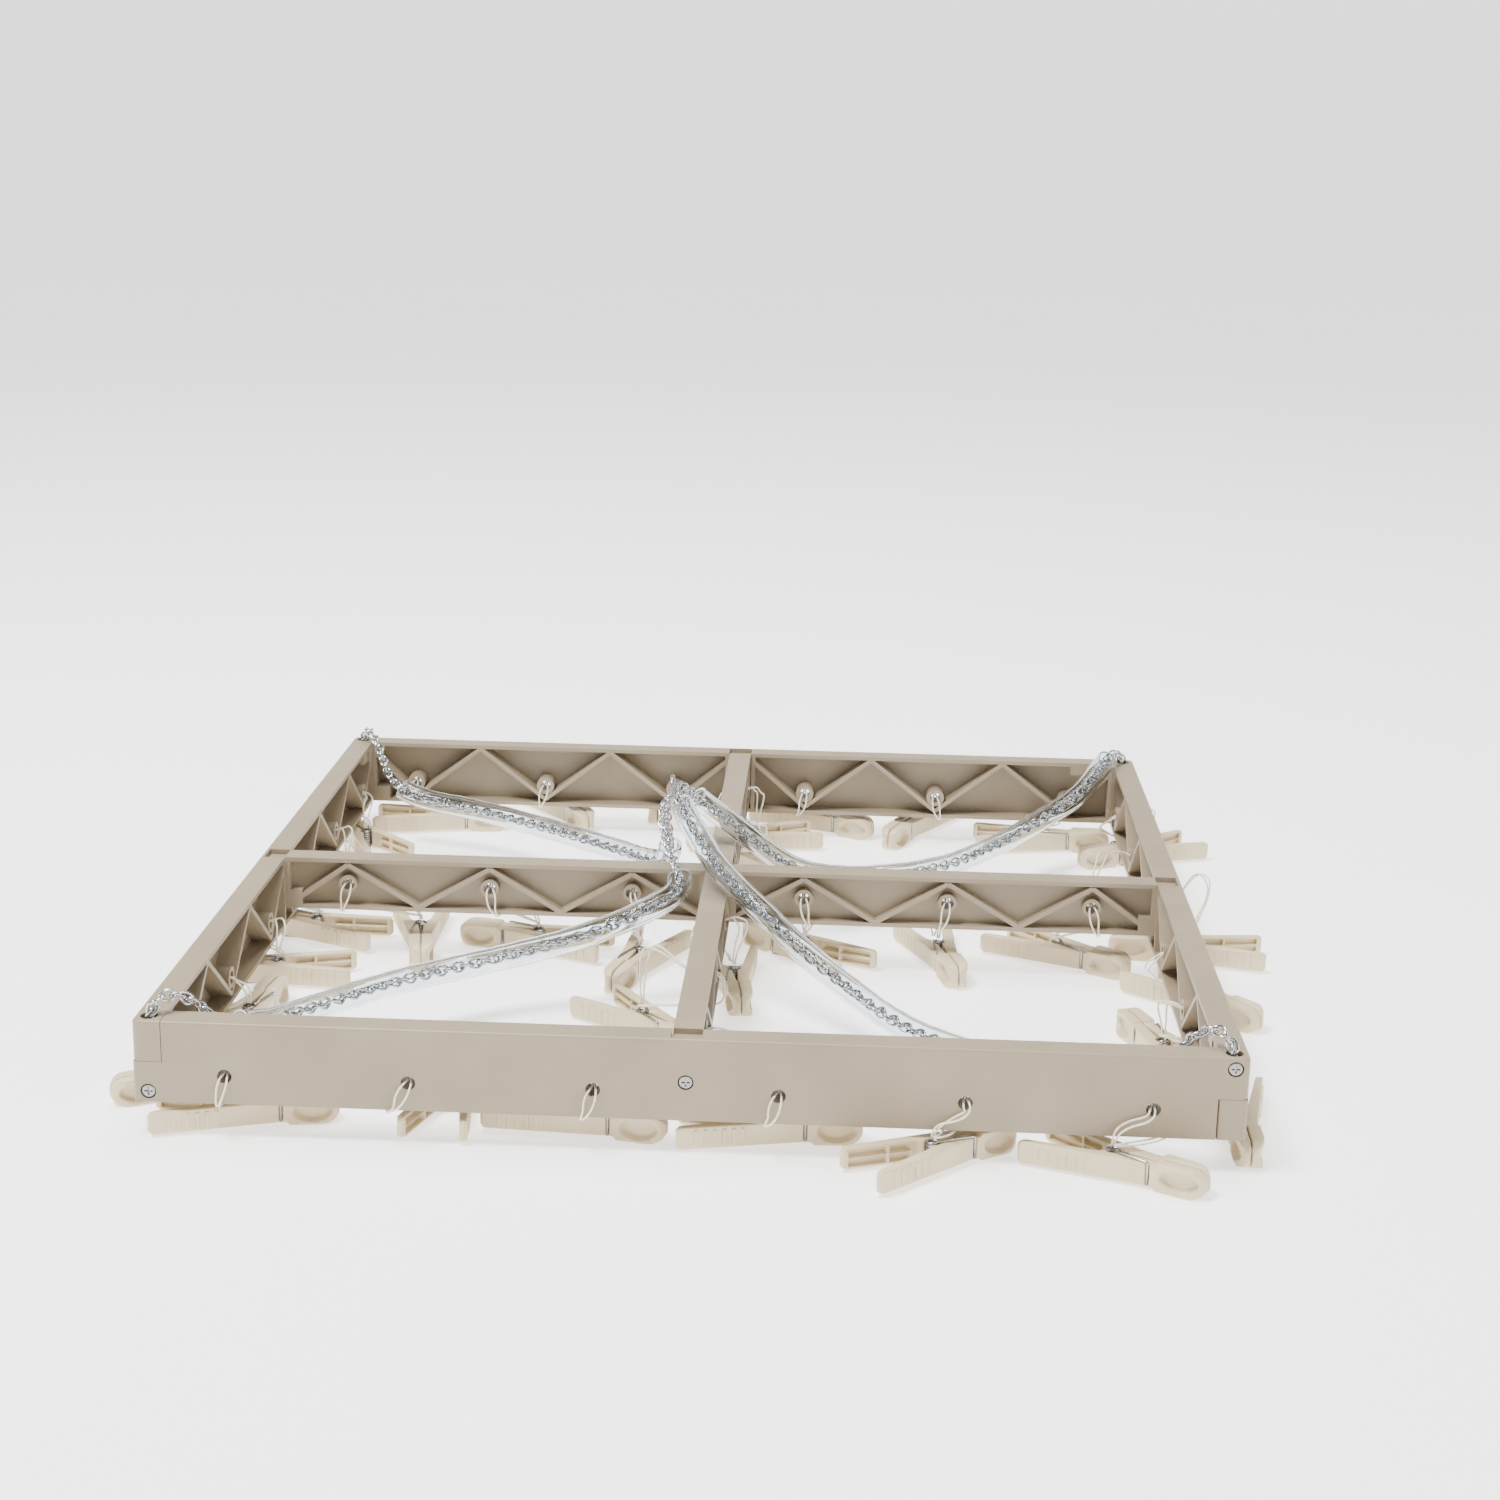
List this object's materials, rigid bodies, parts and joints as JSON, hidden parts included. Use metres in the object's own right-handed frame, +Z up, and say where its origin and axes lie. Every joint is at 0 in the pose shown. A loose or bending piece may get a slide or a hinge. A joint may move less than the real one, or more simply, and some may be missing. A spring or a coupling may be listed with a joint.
{
  "type": "hanging peg airer",
  "caption": "Square laundry airer lying on a surface: half-lapped plastic rails, crossbars, sleeved chains to a ring, and spring pegs on short doubled cords.",
  "frame": {"origin": "on the surface that the airer lies on, under the middle of the rigid parts' box (frame and pegs, without chains and cords)", "axes": "+Z up; X and Y along the crossbars, +X to the right and +Y to the back as seen from the front"},
  "size_m": [0.5216, 0.564, 0.0906],
  "materials": {
    "frame_plastic": "satin",
    "peg_plastic": "satin",
    "screw_steel": "bright zinc",
    "chain_steel": "bright zinc",
    "spring_steel": "bright wire",
    "clear_sleeve": "clear",
    "cord": "woven"
  },
  "bodies": {
    "frame": {"rail_front": "frame_plastic", "rail_right": "frame_plastic", "rail_back": "frame_plastic", "rail_left": "frame_plastic", "crossbar_x": "frame_plastic", "crossbar_y": "frame_plastic", "screws": "screw_steel", "chain_front_left": "chain_steel", "chain_front_right": "chain_steel", "chain_back_left": "chain_steel", "chain_back_right": "chain_steel", "sleeve_front_left": "clear_sleeve", "sleeve_front_right": "clear_sleeve", "sleeve_back_left": "clear_sleeve", "sleeve_back_right": "clear_sleeve", "gather_ring": "spring_steel", "pegs_front": "peg_plastic", "pegs_right": "peg_plastic", "pegs_back": "peg_plastic", "pegs_left": "peg_plastic", "pegs_bar_x": "peg_plastic", "pegs_bar_y": "peg_plastic", "peg_springs": "spring_steel", "peg_cords": "cord"},
    "lever_front_1": {"peg_front_1": "peg_plastic"},
    "lever_front_2": {"peg_front_2": "peg_plastic"},
    "lever_front_3": {"peg_front_3": "peg_plastic"},
    "lever_front_4": {"peg_front_4": "peg_plastic"},
    "lever_front_5": {"peg_front_5": "peg_plastic"},
    "lever_front_6": {"peg_front_6": "peg_plastic"},
    "lever_right_1": {"peg_right_1": "peg_plastic"},
    "lever_right_2": {"peg_right_2": "peg_plastic"},
    "lever_right_3": {"peg_right_3": "peg_plastic"},
    "lever_right_4": {"peg_right_4": "peg_plastic"},
    "lever_right_5": {"peg_right_5": "peg_plastic"},
    "lever_right_6": {"peg_right_6": "peg_plastic"},
    "lever_back_1": {"peg_back_1": "peg_plastic"},
    "lever_back_2": {"peg_back_2": "peg_plastic"},
    "lever_back_3": {"peg_back_3": "peg_plastic"},
    "lever_back_4": {"peg_back_4": "peg_plastic"},
    "lever_back_5": {"peg_back_5": "peg_plastic"},
    "lever_back_6": {"peg_back_6": "peg_plastic"},
    "lever_left_1": {"peg_left_1": "peg_plastic"},
    "lever_left_2": {"peg_left_2": "peg_plastic"},
    "lever_left_3": {"peg_left_3": "peg_plastic"},
    "lever_left_4": {"peg_left_4": "peg_plastic"},
    "lever_left_5": {"peg_left_5": "peg_plastic"},
    "lever_left_6": {"peg_left_6": "peg_plastic"},
    "lever_bar_x_1": {"peg_bar_x_1": "peg_plastic"},
    "lever_bar_x_2": {"peg_bar_x_2": "peg_plastic"},
    "lever_bar_x_3": {"peg_bar_x_3": "peg_plastic"},
    "lever_bar_x_4": {"peg_bar_x_4": "peg_plastic"},
    "lever_bar_x_5": {"peg_bar_x_5": "peg_plastic"},
    "lever_bar_x_6": {"peg_bar_x_6": "peg_plastic"},
    "lever_bar_y_1": {"peg_bar_y_1": "peg_plastic"},
    "lever_bar_y_2": {"peg_bar_y_2": "peg_plastic"},
    "lever_bar_y_3": {"peg_bar_y_3": "peg_plastic"},
    "lever_bar_y_4": {"peg_bar_y_4": "peg_plastic"},
    "lever_bar_y_5": {"peg_bar_y_5": "peg_plastic"},
    "lever_bar_y_6": {"peg_bar_y_6": "peg_plastic"}
  },
  "joints": [
    {"name": "open_front_1", "type": "hinge", "parent": "frame", "child": "lever_front_1", "pos_m": [-0.19769, -0.23112, 0.006], "axis": [0, 0, -1], "range_deg": [0, 25], "stiffness_Nm_per_rad": 0.1, "springref_deg": -40.11},
    {"name": "open_front_2", "type": "hinge", "parent": "frame", "child": "lever_front_2", "pos_m": [-0.11269, -0.21112, 0.006], "axis": [0, 0, 1], "range_deg": [0, 25], "stiffness_Nm_per_rad": 0.1, "springref_deg": -40.11},
    {"name": "open_front_3", "type": "hinge", "parent": "frame", "child": "lever_front_3", "pos_m": [-0.05969, -0.22612, 0.006], "axis": [0, 0, 1], "range_deg": [0, 25], "stiffness_Nm_per_rad": 0.1, "springref_deg": -40.11},
    {"name": "open_front_4", "type": "hinge", "parent": "frame", "child": "lever_front_4", "pos_m": [0.01931, -0.23012, 0.006], "axis": [0, 0, 1], "range_deg": [0, 25], "stiffness_Nm_per_rad": 0.1, "springref_deg": -40.11},
    {"name": "open_front_5", "type": "hinge", "parent": "frame", "child": "lever_front_5", "pos_m": [0.08831, -0.25012, 0.006], "axis": [0, 0, 1], "range_deg": [0, 25], "stiffness_Nm_per_rad": 0.1, "springref_deg": -40.11},
    {"name": "open_front_6", "type": "hinge", "parent": "frame", "child": "lever_front_6", "pos_m": [0.16031, -0.25112, 0.006], "axis": [0, 0, 1], "range_deg": [0, 25], "stiffness_Nm_per_rad": 0.1, "springref_deg": -40.11},
    {"name": "open_right_1", "type": "hinge", "parent": "frame", "child": "lever_right_1", "pos_m": [0.21731, -0.20412, 0.006], "axis": [0, 0, 1], "range_deg": [0, 25], "stiffness_Nm_per_rad": 0.1, "springref_deg": -40.11},
    {"name": "open_right_2", "type": "hinge", "parent": "frame", "child": "lever_right_2", "pos_m": [0.19431, -0.13112, 0.006], "axis": [0, 0, 1], "range_deg": [0, 25], "stiffness_Nm_per_rad": 0.1, "springref_deg": -40.11},
    {"name": "open_right_3", "type": "hinge", "parent": "frame", "child": "lever_right_3", "pos_m": [0.21731, -0.06212, 0.006], "axis": [0, 0, 1], "range_deg": [0, 25], "stiffness_Nm_per_rad": 0.1, "springref_deg": -40.11},
    {"name": "open_right_4", "type": "hinge", "parent": "frame", "child": "lever_right_4", "pos_m": [0.22431, 0.00388, 0.006], "axis": [0, 0, -1], "range_deg": [0, 25], "stiffness_Nm_per_rad": 0.1, "springref_deg": -40.11},
    {"name": "open_right_5", "type": "hinge", "parent": "frame", "child": "lever_right_5", "pos_m": [0.17831, 0.06288, 0.006], "axis": [0, 0, 1], "range_deg": [0, 25], "stiffness_Nm_per_rad": 0.1, "springref_deg": -40.11},
    {"name": "open_right_6", "type": "hinge", "parent": "frame", "child": "lever_right_6", "pos_m": [0.21731, 0.16788, 0.006], "axis": [0, 0, 1], "range_deg": [0, 25], "stiffness_Nm_per_rad": 0.1, "springref_deg": -40.11},
    {"name": "open_back_1", "type": "hinge", "parent": "frame", "child": "lever_back_1", "pos_m": [-0.18669, 0.18688, 0.006], "axis": [0, 0, 1], "range_deg": [0, 25], "stiffness_Nm_per_rad": 0.1, "springref_deg": -40.11},
    {"name": "open_back_2", "type": "hinge", "parent": "frame", "child": "lever_back_2", "pos_m": [-0.11869, 0.22188, 0.006], "axis": [0, 0, -1], "range_deg": [0, 25], "stiffness_Nm_per_rad": 0.1, "springref_deg": -40.11},
    {"name": "open_back_3", "type": "hinge", "parent": "frame", "child": "lever_back_3", "pos_m": [-0.06169, 0.24588, 0.006], "axis": [0, 0, 1], "range_deg": [0, 25], "stiffness_Nm_per_rad": 0.1, "springref_deg": -40.11},
    {"name": "open_back_4", "type": "hinge", "parent": "frame", "child": "lever_back_4", "pos_m": [0.03031, 0.21188, 0.006], "axis": [0, 0, 1], "range_deg": [0, 25], "stiffness_Nm_per_rad": 0.1, "springref_deg": -40.11},
    {"name": "open_back_5", "type": "hinge", "parent": "frame", "child": "lever_back_5", "pos_m": [0.08931, 0.20888, 0.006], "axis": [0, 0, 1], "range_deg": [0, 25], "stiffness_Nm_per_rad": 0.1, "springref_deg": -40.11},
    {"name": "open_back_6", "type": "hinge", "parent": "frame", "child": "lever_back_6", "pos_m": [0.15931, 0.18388, 0.006], "axis": [0, 0, 1], "range_deg": [0, 25], "stiffness_Nm_per_rad": 0.1, "springref_deg": -40.11},
    {"name": "open_left_1", "type": "hinge", "parent": "frame", "child": "lever_left_1", "pos_m": [-0.21969, -0.19912, 0.006], "axis": [0, 0, -1], "range_deg": [0, 25], "stiffness_Nm_per_rad": 0.1, "springref_deg": -40.11},
    {"name": "open_left_2", "type": "hinge", "parent": "frame", "child": "lever_left_2", "pos_m": [-0.21869, -0.12812, 0.006], "axis": [0, 0, -1], "range_deg": [0, 25], "stiffness_Nm_per_rad": 0.1, "springref_deg": -40.11},
    {"name": "open_left_3", "type": "hinge", "parent": "frame", "child": "lever_left_3", "pos_m": [-0.21969, -0.06712, 0.006], "axis": [0, 0, -1], "range_deg": [0, 25], "stiffness_Nm_per_rad": 0.1, "springref_deg": -40.11},
    {"name": "open_left_4", "type": "hinge", "parent": "frame", "child": "lever_left_4", "pos_m": [-0.21469, -0.00512, 0.006], "axis": [0, 0, 1], "range_deg": [0, 25], "stiffness_Nm_per_rad": 0.1, "springref_deg": -40.11},
    {"name": "open_left_5", "type": "hinge", "parent": "frame", "child": "lever_left_5", "pos_m": [-0.21869, 0.08788, 0.006], "axis": [0, 0, -1], "range_deg": [0, 25], "stiffness_Nm_per_rad": 0.1, "springref_deg": -40.11},
    {"name": "open_left_6", "type": "hinge", "parent": "frame", "child": "lever_left_6", "pos_m": [-0.21969, 0.14388, 0.006], "axis": [0, 0, 1], "range_deg": [0, 25], "stiffness_Nm_per_rad": 0.1, "springref_deg": -40.11},
    {"name": "open_bar_x_1", "type": "hinge", "parent": "frame", "child": "lever_bar_x_1", "pos_m": [-0.16169, -0.00712, 0.006], "axis": [0, 0, 1], "range_deg": [0, 25], "stiffness_Nm_per_rad": 0.1, "springref_deg": -40.11},
    {"name": "open_bar_x_2", "type": "hinge", "parent": "frame", "child": "lever_bar_x_2", "pos_m": [-0.10169, -0.01212, 0.006], "axis": [0, 0, 1], "range_deg": [0, 25], "stiffness_Nm_per_rad": 0.1, "springref_deg": -40.11},
    {"name": "open_bar_x_3", "type": "hinge", "parent": "frame", "child": "lever_bar_x_3", "pos_m": [-0.04869, -0.03412, 0.006], "axis": [0, 0, -1], "range_deg": [0, 25], "stiffness_Nm_per_rad": 0.1, "springref_deg": -40.11},
    {"name": "open_bar_x_4", "type": "hinge", "parent": "frame", "child": "lever_bar_x_4", "pos_m": [0.03131, -0.01412, 0.006], "axis": [0, 0, -1], "range_deg": [0, 25], "stiffness_Nm_per_rad": 0.1, "springref_deg": -40.11},
    {"name": "open_bar_x_5", "type": "hinge", "parent": "frame", "child": "lever_bar_x_5", "pos_m": [0.09731, -0.01012, 0.006], "axis": [0, 0, -1], "range_deg": [0, 25], "stiffness_Nm_per_rad": 0.1, "springref_deg": -40.11},
    {"name": "open_bar_x_6", "type": "hinge", "parent": "frame", "child": "lever_bar_x_6", "pos_m": [0.15631, -0.00412, 0.006], "axis": [0, 0, -1], "range_deg": [0, 25], "stiffness_Nm_per_rad": 0.1, "springref_deg": -40.11},
    {"name": "open_bar_y_1", "type": "hinge", "parent": "frame", "child": "lever_bar_y_1", "pos_m": [0.00831, -0.18212, 0.006], "axis": [0, 0, 1], "range_deg": [0, 25], "stiffness_Nm_per_rad": 0.1, "springref_deg": -40.11},
    {"name": "open_bar_y_2", "type": "hinge", "parent": "frame", "child": "lever_bar_y_2", "pos_m": [-0.04069, -0.11712, 0.006], "axis": [0, 0, -1], "range_deg": [0, 25], "stiffness_Nm_per_rad": 0.1, "springref_deg": -40.11},
    {"name": "open_bar_y_3", "type": "hinge", "parent": "frame", "child": "lever_bar_y_3", "pos_m": [-0.00169, -0.05712, 0.006], "axis": [0, 0, -1], "range_deg": [0, 25], "stiffness_Nm_per_rad": 0.1, "springref_deg": -40.11},
    {"name": "open_bar_y_4", "type": "hinge", "parent": "frame", "child": "lever_bar_y_4", "pos_m": [-0.04169, 0.05288, 0.006], "axis": [0, 0, -1], "range_deg": [0, 25], "stiffness_Nm_per_rad": 0.1, "springref_deg": -40.11},
    {"name": "open_bar_y_5", "type": "hinge", "parent": "frame", "child": "lever_bar_y_5", "pos_m": [0.00531, 0.11988, 0.006], "axis": [0, 0, 1], "range_deg": [0, 25], "stiffness_Nm_per_rad": 0.1, "springref_deg": -40.11},
    {"name": "open_bar_y_6", "type": "hinge", "parent": "frame", "child": "lever_bar_y_6", "pos_m": [-0.00069, 0.16988, 0.006], "axis": [0, 0, -1], "range_deg": [0, 25], "stiffness_Nm_per_rad": 0.1, "springref_deg": -40.11}
  ]
}
